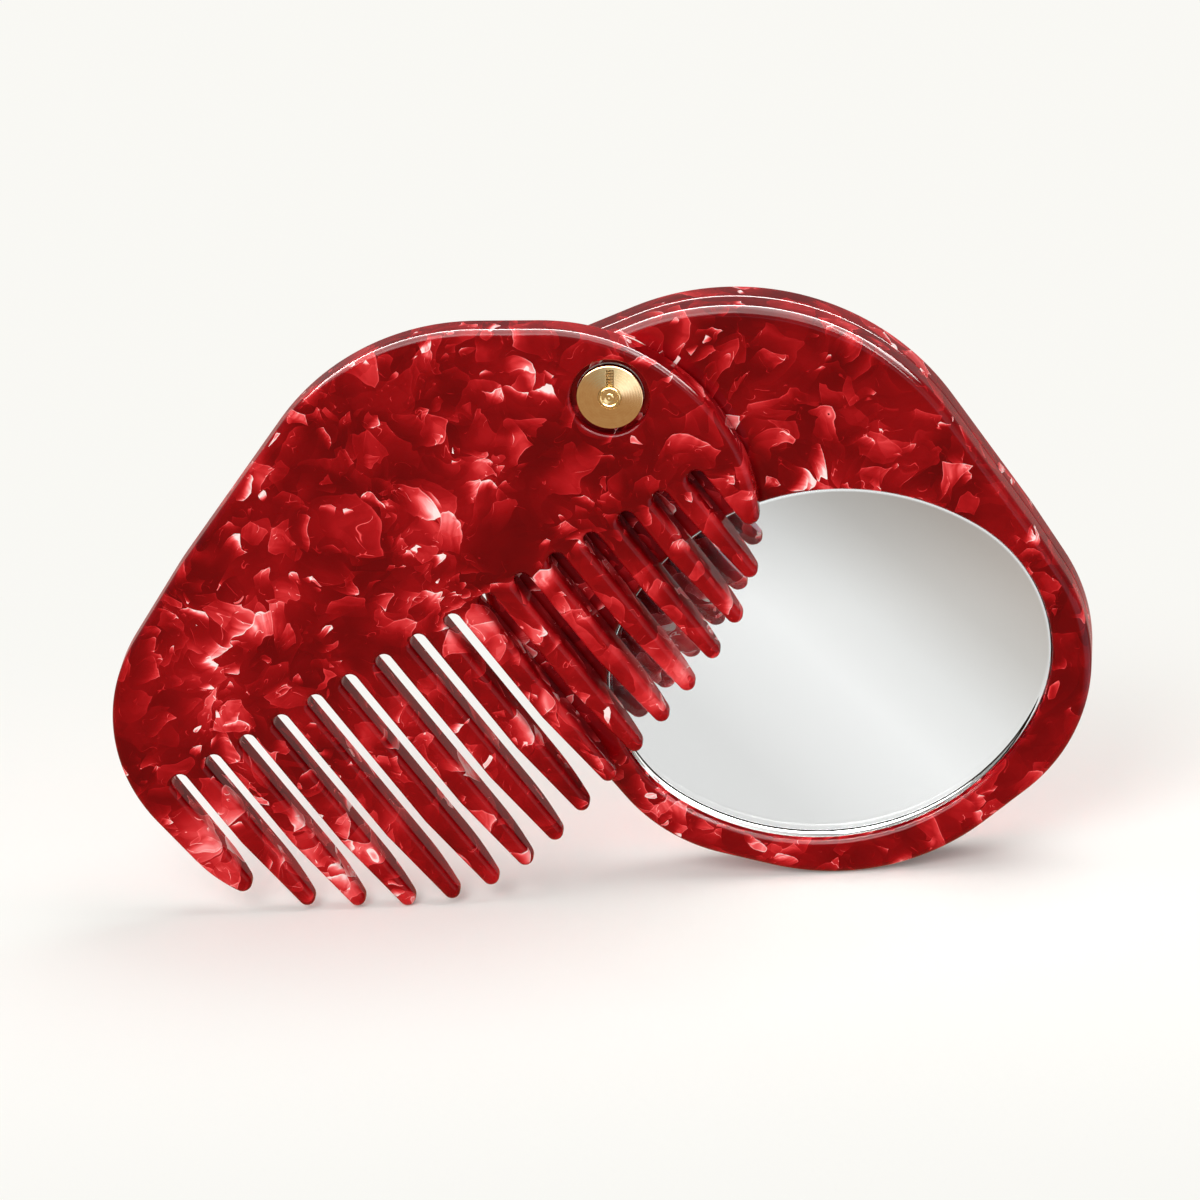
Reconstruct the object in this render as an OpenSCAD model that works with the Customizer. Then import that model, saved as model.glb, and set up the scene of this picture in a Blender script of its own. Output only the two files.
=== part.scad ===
// Folding pocket comb with a mirror: a comb plate and a two-layer mirror case turn on one brass rivet.
// It stands on edge, opened: X runs to the right, Y to the rear and Z up, in millimetres.

/* [Plates] */
// Thickness of each acetate plate
plate_t = 4.5; // [3.5:0.5:6]
// Gap between the comb and the mirror case
plate_gap = 0.4; // [0.3:0.05:0.8]
// Turn of the comb from hanging straight down, seen from the front
comb_turn = -35; // [-60:1:-25]
// Turn of the mirror case from hanging straight down
case_turn = 36.3; // [30:0.1:60]

/* [Comb] */
// Radius of the comb's edge over the pivot
comb_top_r = 28; // [26:0.5:31]
// Width of the comb's rim above the recess of the front disc
comb_rim = 2.4; // [2:0.1:3.4]
// Radius of the shoulder on the comb's plain side
comb_shoulder_r = 32; // [29:0.5:34]
// Radius of the comb's outer corner
comb_corner_r = 21.5; // [19:0.5:24]
// Radius of the comb's outer end
comb_end_r = 18.5; // [17:0.5:21]
// Radius of the comb's bulge along the tooth tips
comb_side_r = 31; // [28:0.5:32]

/* [Teeth] */
// Number of slots between the teeth
slot_count = 16; // [12:1:16]
// Width of a slot
slot_w = 2.2; // [1.2:0.05:2.4]
// Direction of the teeth
tooth_dir = -17.3; // [-22:0.1:-12]
// Direction of the line through the roots of the slots
root_dir = 68.4; // [64:0.1:72]
// Distance of that line from the pivot
root_offset = 15.3; // [14:0.1:18]
// Distance along the line from the comb's outer end to the outermost root
row_margin = 6.1; // [5:0.1:9]
// Distance along the line of the innermost root past the pivot
row_past = 3.3; // [0:0.1:4]
// Radius at the ends of the inner teeth
inner_tip_r = 1.1; // [0.6:0.1:1.4]
// Angle at which the outer side of a tooth draws in to its end
tooth_taper = 5; // [3:0.5:10]
// Radius at the ends of the two outer teeth
outer_tip_r = 1.3; // [0.6:0.1:1.6]

/* [Mirror case] */
// Radius of the case's edge over the pivot
case_top_r = 33.7; // [32:0.1:35]
// Width of the case's rim above the recess of the rear disc
case_rim = 0.6; // [0.4:0.1:1.6]
// Radius of the case's shoulder
case_shoulder_r = 26.2; // [25:0.1:28]
// Radius of the case's edge behind the comb
case_side_r = 23; // [20:0.5:25]
// Radius of the case's outer end
case_end_r = 31.9; // [31:0.1:34]
// Radius of the case's outer corner
case_corner_r = 23.7; // [22:0.1:27]

/* [Mirror] */
// Long half width of the mirror window
window_a = 29.4; // [27:0.1:30]
// Short half width of the mirror window
window_b = 24.5; // [22:0.1:25]
// Radius at the narrow ends of the window
window_end_r = 20.5; // [16:0.5:21]
// Turn of the window's long axis in the case
window_turn = -18.7; // [-30:0.1:0]
// Distance of the window's centre below the pivot
window_drop = 47.9; // [46:0.1:49]
// Clearance round the mirror
mirror_play = 0.12; // [0.05:0.01:0.3]
// Depth of the glass below the front of its frame
mirror_set = 0.9; // [0.4:0.1:1.2]
// Thickness of the mirror glass
glass_t = 2; // [1:0.1:2.2]
// Thickness of the silvering and its paint
silver_t = 0.1; // [0.05:0.01:0.2]
// Inset of the adhesive pad from the edge of the mirror
pad_inset = 2; // [1:0.5:6]

/* [Pivot] */
// Diameter of the brass discs
disc_d = 8.7; // [8:0.1:10]
// Thickness of the brass discs
disc_t = 1.1; // [0.8:0.1:1.4]
// Depth of a disc's face below the plate round it
disc_set = 0.2; // [0:0.05:0.4]
// Clearance round a disc in its recess
disc_play = 0.75; // [0.2:0.05:1]
// Outer diameter of the sleeve that the comb turns on
sleeve_d = 5; // [4.4:0.1:6]
// Running clearance of the comb on the sleeve, on the radius
comb_play = 0.05; // [0.02:0.01:0.1]
// Clearance of the sleeve in the case, on the radius
case_play = 0.02; // [0.01:0.01:0.05]
// Diameter of the rivet
rivet_d = 2.4; // [1.8:0.1:3]
// Clearance of the rivet in the sleeve, on the radius
rivet_play = 0.03; // [0.01:0.01:0.1]
// Width of the rivet's heads over its shank, on the radius
head_rim = 0.3; // [0.2:0.05:0.6]
// Thickness of the rivet's heads
head_t = 0.5; // [0.3:0.05:0.7]
// Width of the groove in the front disc
groove_w = 1; // [0.6:0.1:1.4]
// Depth of the groove in the front disc
groove_d = 0.4; // [0.2:0.05:0.6]
// Distance of the groove's end from the edge of the disc
groove_rim = 0.6; // [0.3:0.1:1.2]
// Thickness of the washer under the front disc
washer_t = 0.3; // [0.2:0.05:0.5]
// Axial play of the comb
end_play = 0.03; // [0.01:0.01:0.1]
// Diameter of the washer between the comb and the case
spacer_d = 14; // [12:0.5:18]
// Thickness of the disc spring's sheet
spring_t = 0.25; // [0.2:0.05:0.4]
// Height of the disc spring
spring_h = 0.6; // [0.5:0.05:0.9]

/* [Hidden] */
$fn = 96;
eps = 0.01;
tiny = 0.0001;
arc_step = 2;

red = [0.62, 0.03, 0.06];
brass = [0.83, 0.66, 0.33];
nylon = [0.9, 0.89, 0.85];
steel = [0.62, 0.63, 0.65];

recess_r = disc_d / 2 + disc_play;

// Circles that the comb's edge is drawn tight round: x, y and radius, with the pivot at the origin
// and the comb hanging straight down.
comb_circles = [
    [-0.5, -51, comb_side_r],
    [4, recess_r + comb_rim - comb_top_r, comb_top_r],
    [0, -28.5, comb_shoulder_r],
    [-9, -63.5, comb_corner_r],
    [-2.5, -68, comb_end_r]];
// The same for the mirror case.
case_circles = [
    [9, -53.3, case_corner_r],
    [-0.4, recess_r + case_rim - case_top_r, case_top_r],
    [-5, -19.4, case_shoulder_r],
    [-10, -46.4, case_side_r],
    [1.2, -45.7, case_end_r]];

function along(a) = [cos(a), sin(a)];
function turned(p, a) = [p.x * cos(a) - p.y * sin(a), p.x * sin(a) + p.y * cos(a)];
function centre(c) = [c.x, c.y];
function inset(circles, d) = [for (c = circles) [c.x, c.y, c.z - d]];

// Outward normal of the straight edge from circle a to circle b, as the outline runs counterclockwise.
function edge_normal(a, b) =
    let (v = centre(b) - centre(a), l = norm(v), e = v / l, k = (a.z - b.z) / l)
    k * e + sqrt(1 - k * k) * [e.y, -e.x];
// True where a circle crosses the straight edge from a to b, or touches it beyond one of its ends.
function spoils(c, a, b) =
    let (n = edge_normal(a, b), e = [-n.y, n.x], out = (centre(c) - centre(a)) * n + c.z - a.z)
    out > tiny || (out > -tiny && ((centre(c) - centre(a)) * e < -tiny || (centre(b) - centre(c)) * e < -tiny));
// Straight edges of the outline: the middle of one circle, both ends of the edge, the middle of the next.
function edges(circles) = [
    for (a = circles) for (b = circles)
        if (norm(centre(b) - centre(a)) > abs(a.z - b.z) && len([for (c = circles) if (spoils(c, a, b)) 1]) == 0)
            let (n = edge_normal(a, b))
                [centre(a), centre(a) + a.z * n, centre(b) + b.z * n, centre(b)]];

function heading(v) = atan2(v.y, v.x);
// Angle round c, counterclockwise from point a to point b.
function sweep(c, a, b) = (heading(b - c) - heading(a - c) + 360) % 360;
function arc(c, a, b) =
    let (n = ceil(sweep(c, a, b) / arc_step))
    [for (i = [0 : n]) c + norm(a - c) * along(heading(a - c) + sweep(c, a, b) * i / n)];
// The straight edge that comes after e, round the circle where e ends.
function next_edge(es, e) =
    let (leaving = [for (n = es) if (n[0] == e[3]) n], least = min([for (n = leaving) sweep(e[3], e[2], n[1])]))
    [for (n = leaving) if (sweep(e[3], e[2], n[1]) == least) n][0];
// Arcs from the end of each straight edge to the start of the next, one after the other.
function chain(es, e, left) =
    left == 0 ? [] : let (n = next_edge(es, e))
        concat(arc(e[3], e[2], n[1]), chain(es, n, left - 1));

// Distance from p along d to the far side of a circle, or to a straight edge, and 0 where it misses.
function to_circle(p, d, c) =
    let (m = p - centre(c), b = m * d, q = b * b - m * m + c.z * c.z)
    q < 0 ? 0 : sqrt(q) - b;
function to_edge(p, d, e) =
    let (w = e[2] - e[1], k = cross(d, w), m = e[1] - p)
    k == 0 ? 0 : let (s = cross(m, d) / k) s < 0 || s > 1 ? 0 : cross(m, w) / k;
// Point where a line from p along d leaves the outline round the circles.
function reach(p, d, circles) =
    p + d * max(concat([for (c = circles) to_circle(p, d, c)], [for (e = edges(circles)) to_edge(p, d, e)]));

// Teeth, in the comb's own frame.
tooth_u = along(tooth_dir);
tooth_v = along(tooth_dir + 90);
taper_u = along(tooth_dir + tooth_taper);
taper_v = along(tooth_dir + tooth_taper + 90);
root_u = along(root_dir);
root_middle = root_offset * along(root_dir - 90);
first_root = reach(root_middle, -root_u, comb_circles) + row_margin * root_u;
slot_pitch = (norm(first_root - root_middle) + row_past) / (slot_count - 1);
tooth_w = slot_pitch * sin(root_dir - tooth_dir) - slot_w;
function slot_root(i) = first_root + i * slot_pitch * root_u;
// Middle of the end of the tooth between slots i - 1 and i.
function inner_tip(i) =
    reach(slot_root(i) - (slot_w / 2 + inner_tip_r) * tooth_v, tooth_u, inset(comb_circles, inner_tip_r));
inner_tips = [for (i = [1 : slot_count - 1]) inner_tip(i)];
// End of an outer tooth, a step k to the side of its middle; side is -1 at the outer end and 1 at the pivot.
function outer_tip(side, k = 0) =
    reach(slot_root(side < 0 ? 0 : slot_count - 1) + (side * (slot_w / 2 + outer_tip_r) + k) * tooth_v,
        tooth_u, inset(comb_circles, outer_tip_r));
function outer_normal(side) =
    let (t = outer_tip(side, eps) - outer_tip(side, -eps))
    [t.y, -t.x] / norm(t);

// The whole is turned until the lowest tooth and the case touch one level line.
tips = concat([for (p = inner_tips) [p.x, p.y, inner_tip_r]],
    [[outer_tip(-1).x, outer_tip(-1).y, outer_tip_r]]);
function foot(c, a) = let (p = turned(centre(c), a)) [p.x, p.y, c.z];
function tangent_slope(a, b) =
    let (v = centre(b) - centre(a))
    atan2(v.y, v.x) + asin((a.z - b.z) / norm(v));
ground_slope = max([for (t = tips)
    min([for (c = case_circles) tangent_slope(foot(t, comb_turn), foot(c, case_turn))])]);
comb_angle = comb_turn - ground_slope;
case_angle = case_turn - ground_slope;

// Place of the pivot, which puts the part's origin under the middle of its box.
function lowest(list, a) = min([for (c = list) foot(c, a).y - c.z]);
function leftmost(list, a) = min([for (c = list) foot(c, a).x - c.z]);
function rightmost(list, a) = max([for (c = list) foot(c, a).x + c.z]);
pivot_z = -min(lowest(tips, comb_angle), lowest(case_circles, case_angle));
pivot_x = -(min(leftmost(comb_circles, comb_angle), leftmost(case_circles, case_angle))
    + max(rightmost(comb_circles, comb_angle), rightmost(case_circles, case_angle))) / 2;

// Faces from front to rear.
comb_y = -(3 * plate_t + plate_gap) / 2;
frame_y = comb_y + plate_t + plate_gap;
back_y = frame_y + plate_t;
rear_y = back_y + plate_t;
front_disc_y = comb_y + disc_set;
comb_washer_y = front_disc_y + disc_t + end_play;
front_recess = disc_set + disc_t + end_play + washer_t;
rear_disc_y = rear_y - disc_set - disc_t;
rear_recess = disc_set + disc_t + spring_h;
glass_y = frame_y + mirror_set;
silver_y = glass_y + glass_t;
pad_y = silver_y + silver_t;
head_r = rivet_d / 2 + head_rim;
groove_r = disc_d / 2 - groove_rim;

// Stands a flat shape up as a slab of thickness t, with its front face at y and the pivot in its place.
module slab(y, t) {
    translate([pivot_x, y + t, pivot_z])
        rotate([90, 0, 0])
            linear_extrude(t)
                children();
}

// Turns a profile of radius and depth about the pivot.
module spun(profile) {
    translate([pivot_x, 0, pivot_z])
        rotate([-90, 0, 0])
            rotate_extrude()
                polygon(profile);
}

module ring(y, t, outer_r, inner_r) {
    spun([[inner_r, y], [outer_r, y], [outer_r, y + t], [inner_r, y + t]]);
}

module outline(circles) {
    es = edges(circles);
    polygon(chain(es, es[0], len(es)));
}

module slot(i) {
    translate(slot_root(i))
        rotate(tooth_dir) {
            circle(d = slot_w, $fn = 32);
            translate([0, -slot_w / 2]) square([60, slot_w]);
        }
}

// What is cut from an inner tooth: its tapered side as far as the middle of the slot, and all beyond its end.
module inner_trim(p) {
    slope = p - inner_tip_r * taper_v;
    drawn = tooth_w - 2 * inner_tip_r;
    back = slope - (drawn / sin(tooth_taper) + 1) * taper_u;
    upper = p + (inner_tip_r + slot_w / 2) * tooth_v;
    lower = p - (inner_tip_r + drawn + slot_w / 2) * tooth_v;
    polygon([upper, p, slope, back, lower + ((back - lower) * tooth_u) * tooth_u,
        lower + 20 * tooth_u, upper + 20 * tooth_u]);
}

module outer_trim(side) {
    p = outer_tip(side);
    inner = p - side * (outer_tip_r + slot_w / 2) * tooth_v;
    outer = p + 4 * outer_tip_r * outer_normal(side);
    polygon([inner, p, outer, outer + 20 * tooth_u, inner + 20 * tooth_u]);
}

module comb_shape() {
    difference() {
        outline(comb_circles);
        for (i = [0 : slot_count - 1]) slot(i);
        for (p = inner_tips) inner_trim(p);
        for (side = [-1, 1]) outer_trim(side);
    }
    for (p = inner_tips) translate(p) circle(inner_tip_r, $fn = 48);
    for (side = [-1, 1]) translate(outer_tip(side)) circle(outer_tip_r, $fn = 48);
}

// Oval of four arcs with half widths a and b and radius r at its narrow ends.
module oval(a, b, r) {
    side_r = ((a - r) * (a - r) + b * b - r * r) / (2 * (b - r));
    joint_x = (a - r) * side_r / (side_r - r);
    for (s = [-1, 1]) translate([s * (a - r), 0]) circle(r, $fn = 180);
    intersection() {
        translate([0, side_r - b]) circle(side_r, $fn = 180);
        translate([0, b - side_r]) circle(side_r, $fn = 180);
        square([2 * joint_x, 3 * b], center = true);
    }
}

module window(margin) {
    rotate(case_angle)
        translate([0, -window_drop])
            rotate(window_turn)
                oval(window_a - margin, window_b - margin, window_end_r - margin);
}

module comb_plate() {
    color(red) difference() {
        slab(comb_y, plate_t) difference() {
            rotate(comb_angle) comb_shape();
            circle(sleeve_d / 2 + comb_play);
        }
        slab(comb_y - eps, front_recess + eps) circle(recess_r);
    }
}

module front_frame() {
    color(red) slab(frame_y, plate_t) difference() {
        rotate(case_angle) outline(case_circles);
        window(0);
        circle(sleeve_d / 2 + case_play);
    }
}

module back_plate() {
    color(red) difference() {
        slab(back_y, plate_t) difference() {
            rotate(case_angle) outline(case_circles);
            circle(sleeve_d / 2 + case_play);
        }
        slab(rear_y - rear_recess, rear_recess + eps) circle(recess_r);
    }
}

module mirror_glass() {
    color([0.85, 0.9, 0.92, 0.4]) slab(glass_y, glass_t) window(mirror_play);
}

module mirror_silvering() {
    color([0.8, 0.8, 0.82]) slab(silver_y, silver_t) window(mirror_play);
}

module mirror_pad() {
    color([0.25, 0.25, 0.26]) slab(pad_y, back_y - pad_y) window(mirror_play + pad_inset);
}

// Brass disc round a head of the rivet, with a groove from the head towards the comb's upper edge.
module front_disc() {
    color(brass) difference() {
        ring(front_disc_y, disc_t, disc_d / 2, rivet_d / 2 + rivet_play);
        slab(front_disc_y - eps, head_t + eps) circle(head_r + rivet_play);
        slab(front_disc_y - eps, groove_d + eps)
            rotate(-ground_slope)
                translate([-groove_w / 2, 0])
                    square([groove_w, groove_r]);
    }
}

module rear_disc() {
    color(brass) difference() {
        ring(rear_disc_y, disc_t, disc_d / 2, rivet_d / 2 + rivet_play);
        slab(rear_disc_y + disc_t - head_t, head_t + eps) circle(head_r + rivet_play);
    }
}

// Rivet with two heads; the front head is dimpled.
module rivet() {
    front = front_disc_y;
    rear = rear_disc_y + disc_t;
    color(brass) spun([
        [0, front + head_t / 2], [head_r / 2, front],
        [head_r, front], [head_r, front + head_t],
        [rivet_d / 2, front + head_t], [rivet_d / 2, rear - head_t],
        [head_r, rear - head_t], [head_r, rear], [0, rear]]);
}

module pivot_sleeve() {
    start = front_disc_y + disc_t;
    color(brass) ring(start, rear_disc_y - start, sleeve_d / 2, rivet_d / 2 + rivet_play);
}

module comb_washer() {
    color(nylon) ring(comb_washer_y, washer_t, disc_d / 2, sleeve_d / 2 + comb_play);
}

module spacer_washer() {
    color(nylon) ring(frame_y - plate_gap + end_play, plate_gap - end_play, spacer_d / 2, sleeve_d / 2 + case_play);
}

// Coned spring washer that presses the rear disc away from the case.
module disc_spring() {
    inner = sleeve_d / 2 + comb_play;
    outer = disc_d / 2;
    front = rear_disc_y - spring_h;
    color(steel) spun([
        [inner, rear_disc_y - spring_t], [outer, front],
        [outer, front + spring_t], [inner, rear_disc_y]]);
}

comb_plate();
front_frame();
back_plate();
mirror_glass();
mirror_silvering();
mirror_pad();
front_disc();
rivet();
pivot_sleeve();
comb_washer();
spacer_washer();
disc_spring();
rear_disc();
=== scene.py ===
import math

import bpy
from mathutils import Matrix, Vector


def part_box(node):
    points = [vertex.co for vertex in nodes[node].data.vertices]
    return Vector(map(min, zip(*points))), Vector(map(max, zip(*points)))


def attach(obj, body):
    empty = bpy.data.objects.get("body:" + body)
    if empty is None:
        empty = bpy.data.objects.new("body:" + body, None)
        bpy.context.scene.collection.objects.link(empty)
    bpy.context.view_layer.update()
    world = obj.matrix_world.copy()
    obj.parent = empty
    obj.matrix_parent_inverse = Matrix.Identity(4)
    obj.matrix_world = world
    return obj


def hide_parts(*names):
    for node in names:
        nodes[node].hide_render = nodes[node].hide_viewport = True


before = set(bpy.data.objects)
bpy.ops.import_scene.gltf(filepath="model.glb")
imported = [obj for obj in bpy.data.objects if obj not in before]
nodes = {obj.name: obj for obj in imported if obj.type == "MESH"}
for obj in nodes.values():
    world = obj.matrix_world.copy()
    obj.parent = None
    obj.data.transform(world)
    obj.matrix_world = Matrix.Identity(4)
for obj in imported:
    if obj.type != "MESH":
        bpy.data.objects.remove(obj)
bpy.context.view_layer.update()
mm = 0.001
low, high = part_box("rivet")
pivot = ((low.x + high.x) / 2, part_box("comb_plate")[0].y, (low.z + high.z) / 2)  # on the comb's front face
groundSlope = 4.421  # degrees that part.scad turns the whole by, to stand it on the floor
print("frame loaded:", len(nodes), "nodes")


# Shader building: a value that takes part in sums, and a material that grows node by node.
class Amount:
    def __init__(self, finish, socket):
        self.finish = finish
        self.socket = socket

    def math(self, operation, *others, clamp=False):
        node = self.finish.add("ShaderNodeMath", {"operation": operation, "use_clamp": clamp})
        for slot, value in zip(node.inputs, (self, *others)):
            self.finish.feed(slot, value)
        return Amount(self.finish, node.outputs[0])

    def __add__(self, other):
        return self.math("ADD", other)

    def __radd__(self, other):
        return self.math("ADD", other)

    def __sub__(self, other):
        return self.math("SUBTRACT", other)

    def __rsub__(self, other):
        node = self.finish.add("ShaderNodeMath", {"operation": "SUBTRACT"}, {0: other, 1: self})
        return Amount(self.finish, node.outputs[0])

    def __mul__(self, other):
        return self.math("MULTIPLY", other)

    def __rmul__(self, other):
        return self.math("MULTIPLY", other)

    def __truediv__(self, other):
        return self.math("DIVIDE", other)

    def __pow__(self, other):
        return self.math("POWER", other)

    def clipped(self):
        return self.math("ADD", 0.0, clamp=True)

    def between(self, start, full):
        node = self.finish.add("ShaderNodeMapRange", {"interpolation_type": "SMOOTHSTEP"},
                               {"Value": self, "From Min": start, "From Max": full})
        return Amount(self.finish, node.outputs["Result"])


class Finish:
    def __init__(self, name, world=None):
        self.material = world or bpy.data.materials.new(name)
        self.material.use_nodes = True
        self.nodes = self.material.node_tree.nodes
        self.links = self.material.node_tree.links
        self.nodes.clear()

    def feed(self, slot, value):
        if isinstance(value, Amount):
            value = value.socket
        if isinstance(value, bpy.types.NodeSocket):
            self.links.new(value, slot)
        else:
            slot.default_value = value

    def add(self, kind, settings=None, inputs=None):
        node = self.nodes.new(kind)
        for key, value in (settings or {}).items():
            if key == "stops":
                ramp = node.color_ramp
                while len(ramp.elements) < len(value):
                    ramp.elements.new(0.5)
                for element, (place, colour) in zip(ramp.elements, value):
                    element.position = place
                    element.color = (*colour, 1.0)
            else:
                setattr(node, key, value)
        for key, value in (inputs or {}).items():
            self.feed(node.inputs[key], value)
        return node

    def place(self):  # Object coordinates in millimetres
        return self.vector("SCALE", self.add("ShaderNodeTexCoord").outputs["Object"], 1 / mm)

    def vector(self, operation, first, second=(0.0, 0.0, 0.0)):
        slot = "Scale" if operation == "SCALE" else 1
        node = self.add("ShaderNodeVectorMath", {"operation": operation}, {0: first, slot: second})
        return node.outputs["Value" if operation == "DOT_PRODUCT" else 0]

    def axes(self, vector):
        node = self.add("ShaderNodeSeparateXYZ", None, {0: vector})
        return [Amount(self, output) for output in node.outputs]

    def noise(self, vector, scale, detail=2.0):  # a value and a colour
        node = self.add("ShaderNodeTexNoise", None, {"Vector": vector, "Scale": scale, "Detail": detail})
        return Amount(self, node.outputs[0]), node.outputs[1]

    def ramp(self, value, stops):
        return self.add("ShaderNodeValToRGB", {"stops": stops}, {"Fac": value}).outputs["Color"]

    def mix(self, factor, first, second):
        first, second = ((*colour, 1) if isinstance(colour, tuple) else colour for colour in (first, second))
        return self.add("ShaderNodeMix", {"data_type": "RGBA"}, {0: factor, 6: first, 7: second}).outputs[2]

    def mixShader(self, factor, first, second):
        inputs = {0: factor, 1: first.outputs[0], 2: second.outputs[0]}
        return self.add("ShaderNodeMixShader", None, inputs)

    def bump(self, height, distance):
        return self.add("ShaderNodeBump", None, {"Height": height, "Distance": distance}).outputs[0]

    def surface(self, **sockets):
        inputs = {key.replace("_", " "): value for key, value in sockets.items()}
        return self.out(self.add("ShaderNodeBsdfPrincipled", None, inputs))

    def out(self, shader, kind="ShaderNodeOutputMaterial"):
        self.feed(self.add(kind).inputs["Surface"], shader.outputs[0])
        return self.material


# Red pearl acetate: silky petals, each brightest at one edge, that lie at all depths in dark red.
pearl = {
    "stir": (4.5, 0.09), "curl": (1.0, 0.32), "swirlDetail": 1.5,    # distance in mm and noise scale per mm
    "base": 0.28, "cloud": (0.075, 0.42),                            # tone, and its drift: scale per mm and strength
    "cluster": (0.12, 0.9), "clusterAt": (31.0, 7.0, 3.0),           # where more petals shine, and their noise's place
    "petals": [  # size in mm, stretch, turn, share that shines, brightness, veil, streaks
        (7.5, 1.5, (0.3, 0.5, 0.1), 0.45, 0.28, 0.07, 5.0),
        (4.6, 1.4, (1.1, 0.2, 0.8), 0.45, 0.44, 0.06, 6.0),
        (3.4, 1.3, (0.5, 0.7, 1.9), 0.50, 0.28, 0.05, 6.0),
        (2.5, 1.4, (0.6, 1.4, 0.4), 0.32, 0.56, 0.04, 6.0),
        (1.2, 1.8, (0.2, 0.9, 1.2), 0.06, 0.66, 0.02, 3.0),
    ],
    "lean": (1.0, 0.4, 1.0),                        # a petal brightens along the sheet more than through it
    "silk": (0.55, 0.9), "fibre": (40.0, 1.2),      # darkest streak and range; each petal's own place and length
    "pick": (0.95, 1.1), "fall": 2.4,               # how sharply petals are picked, and how they fade from the edge
    "rim": (0.04, 0.3), "vary": (0.45, 0.8),        # bright rim's width and strength; dullest petal and range
    "tilt": 0.6,                                    # how much of a veil follows its petal's slope
    "creases": (0.42, 0.012, 0.34),                 # fine folds: scale per mm, width and brightness
    "breaks": (1.6, 0.54, 0.64), "breaksAt": (5.0, 19.0, 43.0),      # what cuts the folds short
    "stops": [
        (0.00, (0.090, 0.0003, 0.0012)), (0.20, (0.155, 0.0006, 0.0018)), (0.40, (0.260, 0.0020, 0.0038)),
        (0.55, (0.400, 0.0070, 0.0100)), (0.68, (0.600, 0.0260, 0.0300)), (0.80, (0.820, 0.1000, 0.1050)),
        (0.90, (0.920, 0.2900, 0.2900)), (1.00, (0.960, 0.7200, 0.7000)),
    ],
    "gloss": {"Roughness": 0.05, "IOR": 1.49, "Specular IOR Level": 0.15,
              "Subsurface Weight": 0.25, "Subsurface Radius": (1.0, 0.12, 0.12), "Subsurface Scale": 0.003},
}


def petalLayer(finish, here, crowd, size, stretch, turn, share, bright, veil, streaks):
    at = finish.add("ShaderNodeMapping", {"vector_type": "TEXTURE"},
                    {"Vector": here, "Rotation": turn, "Scale": (size, size, size * stretch)}).outputs[0]
    cells = finish.add("ShaderNodeTexVoronoi", None, {"Vector": at, "Scale": 1.0})
    pick = finish.axes(cells.outputs["Color"])
    lean = finish.vector("SUBTRACT", cells.outputs["Color"], (0.5, 0.5, 0.5))
    lean = finish.vector("NORMALIZE", finish.vector("MULTIPLY", lean, pearl["lean"]))
    inside = finish.vector("SUBTRACT", at, cells.outputs["Position"])
    across = Amount(finish, finish.vector("DOT_PRODUCT", inside, lean))
    aside = finish.vector("CROSS_PRODUCT", lean, (0.0, 1.0, 0.0))
    aside = Amount(finish, finish.vector("DOT_PRODUCT", inside, aside))
    spread, length = pearl["fibre"]
    fibres = finish.add("ShaderNodeCombineXYZ", None, {0: aside * streaks, 1: pick[0] * spread, 2: across * length})
    silk = finish.noise(fibres.outputs[0], 1.0, 1.0)[0] * pearl["silk"][1] + pearl["silk"][0]
    shown = (pick[2] + crowd).between(*(edge - share for edge in pearl["pick"]))
    lit = across.between(-0.5, 0.5) ** pearl["fall"]
    edge = finish.add("ShaderNodeTexVoronoi", {"feature": "DISTANCE_TO_EDGE"}, {"Vector": at, "Scale": 1.0})
    width, strength = pearl["rim"]
    rim = (1.0 - Amount(finish, edge.outputs["Distance"]).between(0.0, width)) * lit * strength
    glow = (lit * silk + rim) * shown * (pick[1] * pearl["vary"][1] + pearl["vary"][0]) * bright
    return glow, ((pick[1] - 0.5) + across * pearl["tilt"]) * veil


def pearlAcetate(name, offset, extra=None):
    finish = Finish(name)
    still = finish.vector("ADD", finish.place(), offset)
    here = still
    for reach, scale in (pearl["stir"], pearl["curl"]):
        push = finish.vector("SUBTRACT", finish.noise(here, scale, pearl["swirlDetail"])[1], (0.5, 0.5, 0.5))
        here = finish.vector("ADD", here, finish.vector("SCALE", push, 2 * reach))
    scale, strength = pearl["cloud"]
    tone = pearl["base"] + (finish.noise(still, scale)[0] - 0.5) * 2 * strength
    scale, strength = pearl["cluster"]
    crowd = (finish.noise(finish.vector("ADD", still, pearl["clusterAt"]), scale, 1.0)[0] - 0.5) * strength
    shine = None
    for petal in pearl["petals"]:
        glow, veil = petalLayer(finish, here, crowd, *petal)
        shine = glow if shine is None else shine.math("MAXIMUM", glow)
        tone = tone + veil
    scale, width, strength = pearl["creases"]
    fold = (finish.noise(here, scale, 1.0)[0] - 0.5).math("ABSOLUTE")
    finer, start, full = pearl["breaks"]
    broken = finish.noise(finish.vector("ADD", here, pearl["breaksAt"]), scale * finer, 1.0)[0].between(start, full)
    tone = tone + shine + (1.0 - fold.between(0.0, width)) * broken * strength
    if extra:
        tone = tone + extra(finish)
    return finish.surface(Base_Color=finish.ramp(tone.clipped(), pearl["stops"]), **pearl["gloss"])


# The line through the roots of the slots, in the comb's own frame: turns in degrees, places in mm from the pivot; glow
# is how much painted light lifts the tone past it.
rootLine = {"combTurn": -35, "direction": 68.4, "place": (-15.0, -77.0), "reach": (-2.0, 9.0), "glow": 0.12}


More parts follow.
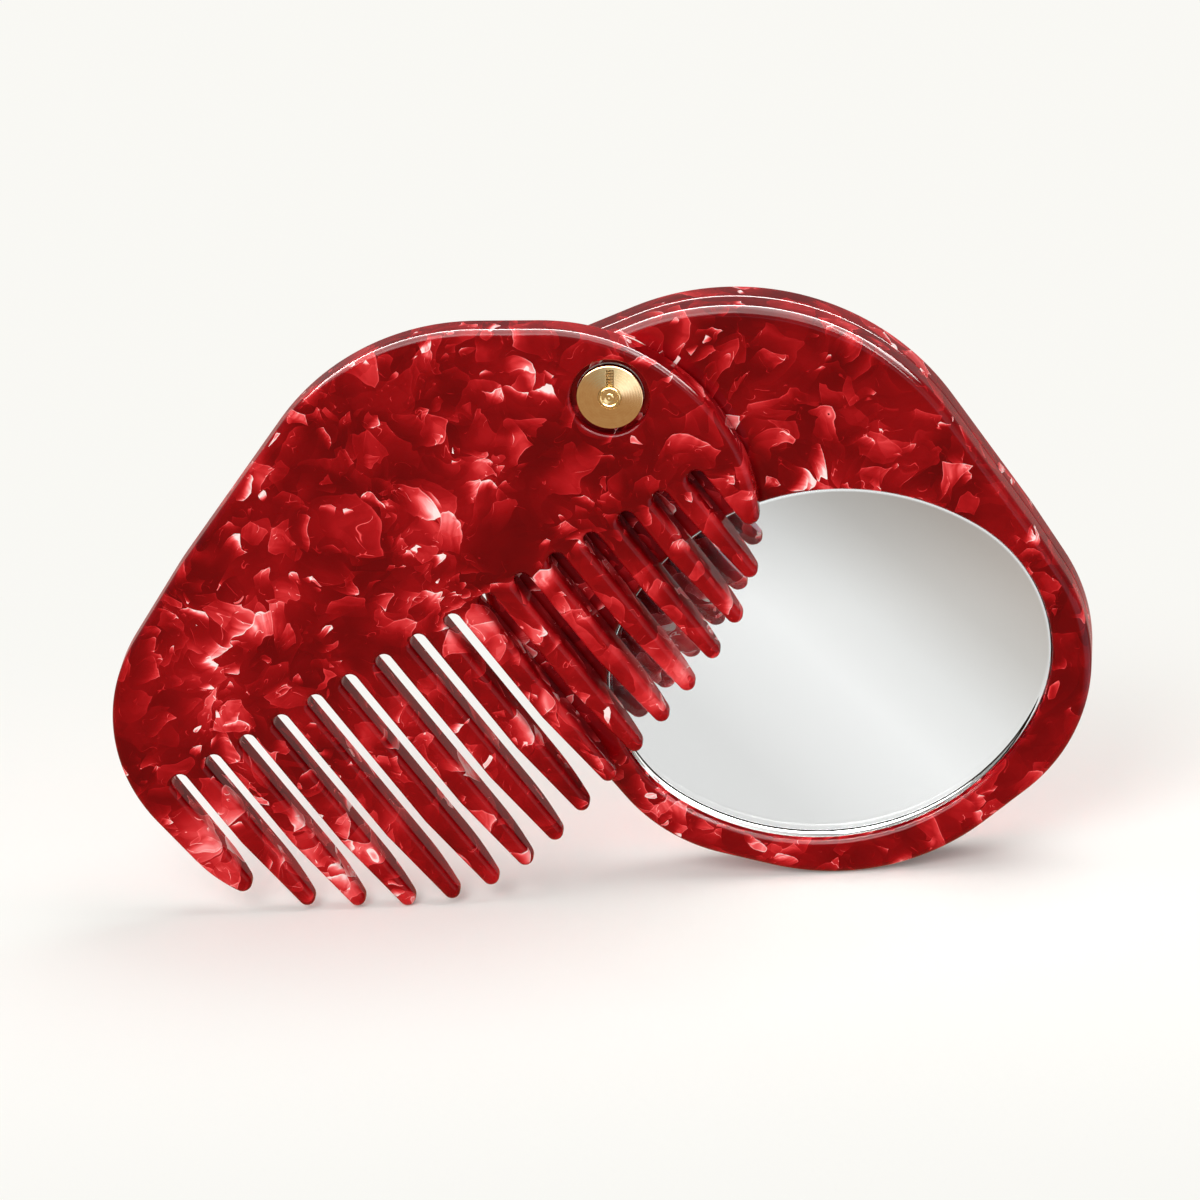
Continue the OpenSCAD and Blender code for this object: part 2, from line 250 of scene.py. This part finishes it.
def paintedTeethLight(finish):  # painted light: past that line the tone is lifted, standing in for light that comes through the thin teeth
    x, y, z = finish.axes(finish.place())
    angle = math.radians(rootLine["combTurn"] - groundSlope)
    rootX, rootZ = rootLine["place"]
    lineX = pivot[0] / mm + rootX * math.cos(angle) - rootZ * math.sin(angle)
    lineZ = pivot[2] / mm + rootX * math.sin(angle) + rootZ * math.cos(angle)
    normal = angle + math.radians(rootLine["direction"]) - math.pi / 2
    past = (x - lineX) * math.cos(normal) + (z - lineZ) * math.sin(normal)
    return past.between(*rootLine["reach"]) * rootLine["glow"]


acetateComb = pearlAcetate("combAcetate", (3.0, 11.0, 5.0), extra=paintedTeethLight)
acetateCase = pearlAcetate("caseAcetate", (41.0, 3.0, 27.0))


# the groove colour is painted shade for what lies below the disc's face
spunBrass = {"colour": (0.92, 0.74, 0.40), "deep": (0.80, 0.50, 0.22), "groove": (0.16, 0.09, 0.03),
             "grooveShadeFrom": (0.1, 0.3),                            # mm below the face where the painted shade starts and is full
             "patches": 1.2, "patchTint": 0.8, "ringTint": 0.06,  # scale per mm, and shares of the deep colour
             "rings": 18.0, "ringDrift": 2.0, "ringHeight": 0.0022,
             "slope": 0.21,                                       # the face falls off to its edge, as if pressed
             "roughness": (0.16, 0.08)}


def brassFinish(name, face=None):  # painted shade: below the face, as in the groove, the brass is darkened
    finish = Finish(name)
    x, y, z = finish.axes(finish.place())
    radius = ((x - pivot[0] / mm) ** 2.0 + (z - pivot[2] / mm) ** 2.0) ** 0.5
    wander = finish.noise(finish.place(), spunBrass["patches"])[0]
    rings = (radius * spunBrass["rings"] + wander * spunBrass["ringDrift"]).math("SINE")
    deep = (wander * spunBrass["patchTint"] + rings * spunBrass["ringTint"]).clipped()
    tint = finish.mix(deep, spunBrass["colour"], spunBrass["deep"])
    if face is not None:
        tint = finish.mix((y - face / mm).between(*spunBrass["grooveShadeFrom"]), tint, spunBrass["groove"])
    height = rings * spunBrass["ringHeight"] - radius * spunBrass["slope"]
    smoothest, spread = spunBrass["roughness"]
    return finish.surface(Base_Color=tint, Metallic=1.0, Roughness=wander * spread + smoothest,
                          Normal=finish.bump(height, mm))


plainSurface = {"dark": 0.78, "detail": 4.0, "roughSpread": 0.12, "depth": 0.00001}


def plainFinish(name, colour, roughness, metallic=0.0, grainScale=6.0, depth=plainSurface["depth"]):
    finish = Finish(name)
    grain = finish.noise(finish.place(), grainScale, plainSurface["detail"])[0]
    tint = finish.mix(grain, colour, tuple(plainSurface["dark"] * part for part in colour))
    return finish.surface(Base_Color=tint, Metallic=metallic, Roughness=roughness + grain * plainSurface["roughSpread"],
                          Normal=finish.bump(grain, depth))


brass = brassFinish("turnedBrass")
polished = plainFinish("polishedBrass", (0.93, 0.72, 0.34), 0.12, metallic=1.0, grainScale=3.0)
nylon = plainFinish("nylonSheet", (0.82, 0.80, 0.74), 0.45)
steel = plainFinish("springSteel", (0.62, 0.62, 0.63), 0.25, metallic=1.0, grainScale=20.0)
foam = plainFinish("adhesiveFoam", (0.045, 0.045, 0.048), 0.75, grainScale=9.0, depth=0.00008)

mirror = {"bevel": 0.00045, "gap": 0.00002,  # the gap keeps glass and silver from lying in one plane
          "glass": (0.985, 0.995, 0.99, 1), "silver": (0.94, 0.94, 0.945, 1), "bloom": 0.2, "roughness": (0.012, 0.006)}


def glassFinish():
    return Finish("mirrorGlass").surface(Base_Color=mirror["glass"], Roughness=0.0, IOR=1.5, Transmission_Weight=1.0)


def silverFinish():
    finish = Finish("mirrorSilver")
    smoothest, spread = mirror["roughness"]
    bloom = finish.noise(finish.place(), mirror["bloom"])[0]
    return finish.surface(Base_Color=mirror["silver"], Metallic=1.0, Roughness=bloom * spread + smoothest)


# Pieces: lengths in metres.
meshWork = {"merge": 1e-6, "flat": math.radians(0.4), "sharp": math.radians(40), "smooth": math.radians(35),
            "weight": 80, "level": 0.00002}


def deselect():
    bpy.ops.object.select_all(action="DESELECT")


def only(piece):
    deselect()
    piece.select_set(True)
    bpy.context.view_layer.objects.active = piece


def joined(parts):  # becomes the first part
    only(parts[0])
    for part in parts:
        part.select_set(True)
    bpy.ops.object.transform_apply(location=True, rotation=True, scale=True)
    bpy.ops.object.join()
    return bpy.context.active_object


def copyNode(node, name):
    piece = bpy.data.objects.new(name, nodes[node].data.copy())
    piece.data.name = name
    bpy.context.scene.collection.objects.link(piece)
    piece.data.materials.clear()
    only(piece)
    bpy.ops.object.mode_set(mode="EDIT")
    bpy.ops.mesh.select_all(action="SELECT")
    bpy.ops.mesh.customdata_custom_splitnormals_clear()
    bpy.ops.mesh.remove_doubles(threshold=meshWork["merge"])
    bpy.ops.mesh.dissolve_limited(angle_limit=meshWork["flat"])
    bpy.ops.object.mode_set(mode="OBJECT")
    return piece


def sharpEdges(mesh):
    normals = {}
    for polygon in mesh.polygons:
        for key in polygon.edge_keys:
            normals.setdefault(key, []).append(polygon.normal)
    for edge in mesh.edges:
        sides = normals.get(tuple(sorted(edge.vertices)), [])
        if len(sides) == 2 and sides[0].angle(sides[1], 0.0) > meshWork["sharp"]:
            yield edge


def roundEdges(piece, wanted, width, segments):
    only(piece)
    mesh = piece.data
    for part in (mesh.vertices, mesh.edges, mesh.polygons):
        part.foreach_set("select", [False] * len(part))
    count = 0
    for edge in sharpEdges(mesh):
        ends = [mesh.vertices[place] for place in edge.vertices]
        if wanted(*(end.co for end in ends)):
            edge.select = ends[0].select = ends[1].select = True
            count += 1
    bpy.ops.object.mode_set(mode="EDIT")
    bpy.ops.mesh.select_mode(type="EDGE")
    bpy.ops.mesh.bevel(offset=width, offset_type="OFFSET", segments=segments, profile=0.5, clamp_overlap=False)
    bpy.ops.object.mode_set(mode="OBJECT")
    print("  rounded", count, "edges of", piece.name)


def finishPiece(piece, material, body, slot, *replaced):
    only(piece)
    bpy.ops.object.shade_smooth_by_angle(angle=meshWork["smooth"])
    modifier = piece.modifiers.new("weighted", "WEIGHTED_NORMAL")
    modifier.mode = "FACE_AREA"
    modifier.weight = meshWork["weight"]
    modifier.keep_sharp = True
    bpy.ops.object.modifier_apply(modifier=modifier.name)
    piece.data.materials.clear()
    piece.data.materials.append(material)
    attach(piece, body)
    if replaced:
        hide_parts(*replaced)
    print("piece", piece.name, len(piece.data.polygons), "faces")


# Which edges to round: each test takes an edge's two ends.
def inPlane(value):
    return lambda *ends: all(abs(end.y - value) < meshWork["level"] for end in ends)


def nearPivot(radius):
    return lambda *ends: all(math.hypot(end.x - pivot[0], end.z - pivot[2]) < radius for end in ends)


def beside(node, reach):  # along the outline of another node
    places = [(vertex.co.x, vertex.co.z) for vertex in nodes[node].data.vertices]
    return lambda *ends: all(min(math.hypot(end.x - x, end.z - z) for x, z in places) < reach for end in ends)


def both(first, second):
    return lambda *ends: first(*ends) and second(*ends)


def butNot(first, second):
    return lambda *ends: first(*ends) and not second(*ends)


atRecess = nearPivot(0.0062)

combPlate = {"front": 0.0009, "rear": 0.0004, "recess": 0.00045,
             "rearFrom": 0.0015}  # behind the front face
teeth = {"turn": -52.3 - groundSlope,                # degrees
         "slot": 0.002144, "pitch": 0.005383,        # across the teeth: the innermost slot and the step to the next
         "row": (-0.0823, 0.0059), "fade": 0.003,    # the row's two ends, and where the thinning fades out past them
         "cuts": (0.022, 0.0458, 0.0012),            # along the teeth: first, last and step
         "from": 0.0078, "by": 0.0027, "kept": 0.0012}  # length thinned, depth lost at the end, depth left as it is


def thinTeeth(piece):  # behind the front edge, each tooth draws forward to its end, as a parabola
    turn = math.radians(teeth["turn"])
    along = Vector((math.cos(turn), 0, math.sin(turn)))
    across = Vector((-math.sin(turn), 0, math.cos(turn)))
    low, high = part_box("comb_plate")
    start, stop, step = teeth["cuts"]
    only(piece)
    bpy.ops.object.mode_set(mode="EDIT")
    for count in range(int((stop - start) / step)):
        bpy.ops.mesh.select_all(action="SELECT")
        bpy.ops.mesh.bisect(plane_co=Vector(pivot) + along * (start + count * step), plane_no=along)
    bpy.ops.object.mode_set(mode="OBJECT")
    first, last = teeth["row"]
    points, tips = [], {}
    for vertex in piece.data.vertices:
        apart = vertex.co - Vector(pivot)
        reach, side = apart.dot(along), apart.dot(across)
        tooth = math.floor((side - teeth["slot"]) / teeth["pitch"])
        past = max(first - side, side - last, 0.0)
        if past < teeth["fade"] and reach > start:
            points.append((vertex, tooth, reach, 1 - past / teeth["fade"]))
            tips[tooth] = max(tips.get(tooth, 0.0), reach)
    kept = low.y + teeth["kept"]
    for vertex, tooth, reach, share in points:
        inward = max(reach - tips[tooth] + teeth["from"], 0.0) / teeth["from"]
        behind = max(vertex.co.y - kept, 0.0) / (high.y - kept)
        vertex.co.y -= teeth["by"] * inward ** 2 * behind * share
    print("  thinned", len(tips), "teeth")


def buildComb():
    piece = copyNode("comb_plate", "comb_polished")
    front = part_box("comb_plate")[0].y
    roundEdges(piece, both(atRecess, inPlane(front)), combPlate["recess"], 3)
    roundEdges(piece, butNot(inPlane(front), atRecess), combPlate["front"], 5)
    rear = front + combPlate["rearFrom"]
    roundEdges(piece, butNot(lambda a, b: min(a.y, b.y) > rear, atRecess), combPlate["rear"], 3)
    thinTeeth(piece)
    finishPiece(piece, acetateComb, "comb", "acetate", "comb_plate")


caseShell = {"front": 0.0012, "window": 0.0006, "seam": 0.0003, "back": 0.0009, "recess": 0.0003,
             "windowReach": 0.0015}  # from the glass to the edge of its window


def buildCase():
    low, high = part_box("front_frame")
    atWindow = beside("mirror_glass", caseShell["windowReach"])

    def outside(a, b):
        return not atWindow(a, b) and not atRecess(a, b)

    piece = copyNode("front_frame", "case_front_polished")
    roundEdges(piece, both(atWindow, inPlane(low.y)), caseShell["window"], 4)
    roundEdges(piece, both(inPlane(low.y), outside), caseShell["front"], 5)
    roundEdges(piece, both(inPlane(high.y), outside), caseShell["seam"], 2)
    finishPiece(piece, acetateCase, "mirror_case", "acetate", "front_frame")

    low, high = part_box("back_plate")
    piece = copyNode("back_plate", "case_back_polished")
    roundEdges(piece, butNot(inPlane(low.y), atRecess), caseShell["seam"], 2)
    roundEdges(piece, butNot(inPlane(high.y), atRecess), caseShell["back"], 4)
    roundEdges(piece, both(atRecess, inPlane(high.y)), caseShell["recess"], 3)
    finishPiece(piece, acetateCase, "mirror_case", "acetate", "back_plate")


def buildMirror():
    low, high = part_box("mirror_glass")
    piece = copyNode("mirror_glass", "mirror_plate_glass")
    for vertex in piece.data.vertices:
        if abs(vertex.co.y - high.y) < meshWork["merge"]:
            vertex.co.y -= mirror["gap"]
    roundEdges(piece, inPlane(low.y), mirror["bevel"], 2)
    finishPiece(piece, glassFinish(), "mirror_case", "glass", "mirror_glass")


brassDisc = {"edge": 0.0002, "groove": 0.00004, "rearEdge": 0.00008,
             "inner": 0.0042, "grooveDepth": 0.0004,  # inside this radius lies the groove
             "ribs": 10, "ribFirst": 0.00166, "ribStep": 0.00021,
             "ribSize": (0.00092, 0.00044, 0.0001), "ribEdge": 0.00003}
grooveUp = Vector((math.sin(math.radians(groundSlope)), 0, math.cos(math.radians(groundSlope))))


def buildDiscs():
    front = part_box("front_disc")[0].y
    piece = copyNode("front_disc", "brass_disc_front")
    inner = nearPivot(brassDisc["inner"])
    roundEdges(piece, lambda a, b: not inner(a, b), brassDisc["edge"], 3)
    roundEdges(piece, both(inner, inPlane(front)), brassDisc["groove"], 2)
    finishPiece(piece, brassFinish("pressedBrass", front), "mirror_case", "brass", "front_disc")
    deselect()
    bottom = Vector((pivot[0], front + brassDisc["grooveDepth"], pivot[2]))
    bpy.ops.mesh.primitive_cube_add(size=1, location=bottom + grooveUp * brassDisc["ribFirst"],
                                    rotation=(0, math.radians(groundSlope), 0), scale=brassDisc["ribSize"])
    rib = bpy.context.active_object
    bpy.ops.object.transform_apply(location=True, rotation=True, scale=True)
    bpy.ops.object.mode_set(mode="EDIT")
    bpy.ops.mesh.select_all(action="SELECT")
    bpy.ops.mesh.bevel(offset=brassDisc["ribEdge"], segments=2, affect="EDGES")
    bpy.ops.object.mode_set(mode="OBJECT")
    ribs = [rib]
    for count in range(1, brassDisc["ribs"]):
        rib = ribs[0].copy()
        rib.data = ribs[0].data.copy()
        rib.location = grooveUp * (count * brassDisc["ribStep"])
        bpy.context.scene.collection.objects.link(rib)
        ribs.append(rib)
    piece = joined(ribs)
    piece.name = "brass_groove_ribs"
    finishPiece(piece, polished, "mirror_case", "brass")
    piece = copyNode("rear_disc", "brass_disc_rear")
    roundEdges(piece, lambda a, b: True, brassDisc["rearEdge"], 2)
    finishPiece(piece, brass, "mirror_case", "brass", "rear_disc")


rivetHead = {"edge": 0.00005, "collar": 0.00122, "collarThick": 0.00016, "collarSunk": 0.00002,
             "dome": 0.00062, "domeHeight": 0.00024, "domeSunk": 0.00022, "dimple": 0.0001}


def buildRivet():
    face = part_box("rivet")[0].y
    piece = copyNode("rivet", "rivet_headed")
    roundEdges(piece, lambda a, b: True, rivetHead["edge"], 2)
    deselect()
    bpy.ops.mesh.primitive_torus_add(major_segments=64, minor_segments=12, major_radius=rivetHead["collar"],
                                     minor_radius=rivetHead["collarThick"], rotation=(math.pi / 2, 0, 0),
                                     location=(pivot[0], face + rivetHead["collarSunk"], pivot[2]))
    collar = bpy.context.active_object
    deselect()
    middle, radius = face + rivetHead["domeSunk"], rivetHead["dome"]
    bpy.ops.mesh.primitive_uv_sphere_add(segments=32, ring_count=16, radius=radius, rotation=(math.pi / 2, 0, 0),
                                         location=(pivot[0], middle, pivot[2]),
                                         scale=(1, 1, rivetHead["domeHeight"] / radius))
    dome = bpy.context.active_object
    bpy.ops.object.transform_apply(location=True, rotation=True, scale=True)
    for vertex in dome.data.vertices:
        apart = math.hypot(vertex.co.x - pivot[0], vertex.co.z - pivot[2])
        if vertex.co.y < middle and apart < radius / 2:
            vertex.co.y += rivetHead["dimple"] * (1 + math.cos(apart / radius * 2 * math.pi)) / 2
    finishPiece(joined([piece, collar, dome]), polished, "mirror_case", "brass", "rivet")


buildComb()
buildCase()
buildMirror()
buildDiscs()
buildRivet()
for node, material, slot in (("mirror_silvering", silverFinish(), "silvering"), ("mirror_pad", foam, "foam"),
                             ("pivot_sleeve", brass, "brass"), ("comb_washer", nylon, "nylon"),
                             ("spacer_washer", nylon, "nylon"), ("disc_spring", steel, "spring_steel")):
    nodes[node].data.materials.clear()
    nodes[node].data.materials.append(material)
print("pieces done")

# Camera: the photograph's direction, set against the pivot on the comb's front face.
photo = {"elevation": 22.0, "azimuth": 4.0, "focal": 8034.0, "distance": 1.03, "side": 1200.0,
         "pivotPixel": (609.5, 398.2), "sensor": 36.0, "clip": (0.05, 20.0)}


def addCamera():
    elevation, azimuth = math.radians(photo["elevation"]), math.radians(photo["azimuth"])
    back = Vector((math.sin(azimuth) * math.cos(elevation), -math.cos(azimuth) * math.cos(elevation),
                   math.sin(elevation)))
    right = Vector((math.cos(azimuth), math.sin(azimuth), 0))
    up = right.cross(-back)
    half, scale = photo["side"] / 2, photo["distance"] / photo["focal"]
    shiftX, shiftY = (photo["pivotPixel"][0] - half) * scale, (half - photo["pivotPixel"][1]) * scale
    away = photo["distance"] * back - shiftX * right - shiftY * up
    turn = Matrix.Rotation(math.radians(groundSlope), 4, "Y")
    pose = turn @ Matrix(((right.x, up.x, back.x, away.x), (right.y, up.y, back.y, away.y),
                          (right.z, up.z, back.z, away.z), (0, 0, 0, 1)))
    pose.translation += Vector(pivot)
    data = bpy.data.cameras.new("camera")
    data.sensor_width = photo["sensor"]
    data.lens = photo["focal"] / photo["side"] * data.sensor_width
    data.clip_start, data.clip_end = photo["clip"]
    camera = bpy.data.objects.new("camera", data)
    bpy.context.scene.collection.objects.link(camera)
    camera.matrix_world = pose
    bpy.context.scene.camera = camera


addCamera()

# Studio: a pale floor, a soft light above and a soft light in front. Bands give where they start and are full.
studio = {
    "size": 6.0, "floor": (0.845, 0.842, 0.815), "white": (0.950, 0.942, 0.905),
    "share": 0.12, "half": 60.0, "blend": (12.0, 110.0),  # white under the object, half its width, band to all white
    # what polished faces see of the floor: near the object, to its right or far in front, and behind it, in mm
    "near": (0.46, 0.30, 0.19), "side": (1.5, 1.5, 1.75), "rear": (0.58, 0.31, 0.285),
    "sideFrom": (75.0, 115.0), "frontFrom": (210.0, 300.0), "frontRight": (-40.0, 20.0), "rearFrom": (10.0, 40.0),
    # what the mirror shows: it darkens to the right and the far side
    "mirrorSlope": (7.8, 3.47), "mirrorSpan": (246.0, 500.0), "mirrorLevel": 1.15, "mirrorFade": (85.0, 150.0, 0.27),
    "mirrorStops": [(0.0, (0.70, 0.70, 0.70)), (0.15, (0.78, 0.78, 0.78)), (0.38, (0.87, 0.87, 0.87)),
                    (0.58, (0.76, 0.76, 0.755)), (0.80, (0.56, 0.54, 0.52)), (1.0, (0.47, 0.43, 0.40))],
    "air": (1.0, 0.99, 0.97), "ambient": 0.48,
    "glossLevel": 0.35,  # what polished faces see of the air, and brighter parts: level, then bands of the direction
    "glows": [(10.0, {"up": (0.46, 0.52)}),
              (0.9, {"right": (-0.2, 0.3), "front": (0.2, 0.7)}),
              (32.0, {"up": (0.46, 0.5), "down": (-0.7, -0.66), "rear": (-0.1, 0.1)}),
              (26.0, {"right": (0.48, 0.51), "left": (-0.62, -0.59), "front": (0.0, 0.1), "up": (0.2, 0.3)})],
    "lamps": [  # name, place, size, power
        ("top", (0.28, 0.10, 0.75), (0.6, 0.45), 3.4),
        ("front", (-0.35, -0.85, 0.75), (0.7, 0.7), 8.0),
    ],
    "lampsAim": (0, 0, 0.04),
}


def glowing(finish, colour, strength=1.0, kind="ShaderNodeEmission"):
    colour = (*colour, 1) if isinstance(colour, tuple) else colour
    return finish.add(kind, None, {"Color": colour, "Strength": strength})


def buildFloor():
    deselect()
    bpy.ops.mesh.primitive_plane_add(size=studio["size"], location=(0, 0, 0))
    floor = bpy.context.active_object
    floor.name = "studio_floor"
    finish = Finish("studioFloor")
    path = finish.add("ShaderNodeLightPath").outputs
    x, y, z = finish.axes(finish.place())
    front = 0.0 - y
    apart = y.math("ABSOLUTE").math("MAXIMUM", x.math("ABSOLUTE") - studio["half"]).between(*studio["blend"])
    white = apart * (1 - studio["share"]) + studio["share"]
    plain = finish.add("ShaderNodeBsdfDiffuse", None, {"Color": (*studio["floor"], 1)})
    shader = finish.mixShader(Amount(finish, path["Is Camera Ray"]) * white, plain, glowing(finish, studio["white"]))
    ahead = front.between(*studio["frontFrom"]) * x.between(*studio["frontRight"])
    card = finish.mix(x.between(*studio["sideFrom"]).math("MAXIMUM", ahead), studio["near"], studio["side"])
    card = finish.mix(y.between(*studio["rearFrom"]), card, studio["rear"])
    shader = finish.mixShader(path["Is Glossy Ray"], shader, glowing(finish, card))
    acrossX, acrossY = studio["mirrorSlope"]
    start, span = studio["mirrorSpan"]
    sheen = finish.ramp(((x * acrossX + front * acrossY - start) / span).clipped(), studio["mirrorStops"])
    near, far, fall = studio["mirrorFade"]
    level = (1.0 - front.between(near, far) * fall) * studio["mirrorLevel"]
    shader = finish.mixShader(path["Is Transmission Ray"], shader, glowing(finish, sheen, level))
    floor.data.materials.append(finish.out(shader))


def addLamps():
    for name, place, size, power in studio["lamps"]:
        data = bpy.data.lights.new(name, "AREA")
        data.shape = "RECTANGLE"
        data.size, data.size_y = size
        data.energy = power
        lamp = bpy.data.objects.new(name, data)
        bpy.context.scene.collection.objects.link(lamp)
        lamp.location = place
        lamp.rotation_euler = (Vector(studio["lampsAim"]) - Vector(place)).to_track_quat("-Z", "Y").to_euler()


def buildAir():
    world = bpy.data.worlds.new("studioAir")
    bpy.context.scene.world = world
    air = Finish("studioAir", world)
    path = air.add("ShaderNodeLightPath").outputs
    x, y, z = air.axes(air.add("ShaderNodeTexCoord").outputs["Generated"])  # the direction looked in
    sides = {"right": x, "left": 0.0 - x, "rear": y, "front": 0.0 - y, "up": z, "down": 0.0 - z}
    level = studio["glossLevel"]
    for strength, bands in studio["glows"]:
        for side, band in bands.items():
            strength = strength * sides[side].between(*band)
        level = level + strength
    soft, shiny, white = (glowing(air, colour, strength, "ShaderNodeBackground") for colour, strength in
                          ((studio["air"], studio["ambient"]), (studio["air"], level), (studio["white"], 1.0)))
    shader = air.mixShader(path["Is Glossy Ray"], soft, shiny)
    air.out(air.mixShader(path["Is Camera Ray"], shader, white), "ShaderNodeOutputWorld")


buildFloor()
addLamps()
buildAir()
bpy.context.scene.view_settings.view_transform = "Standard"
print("studio done")
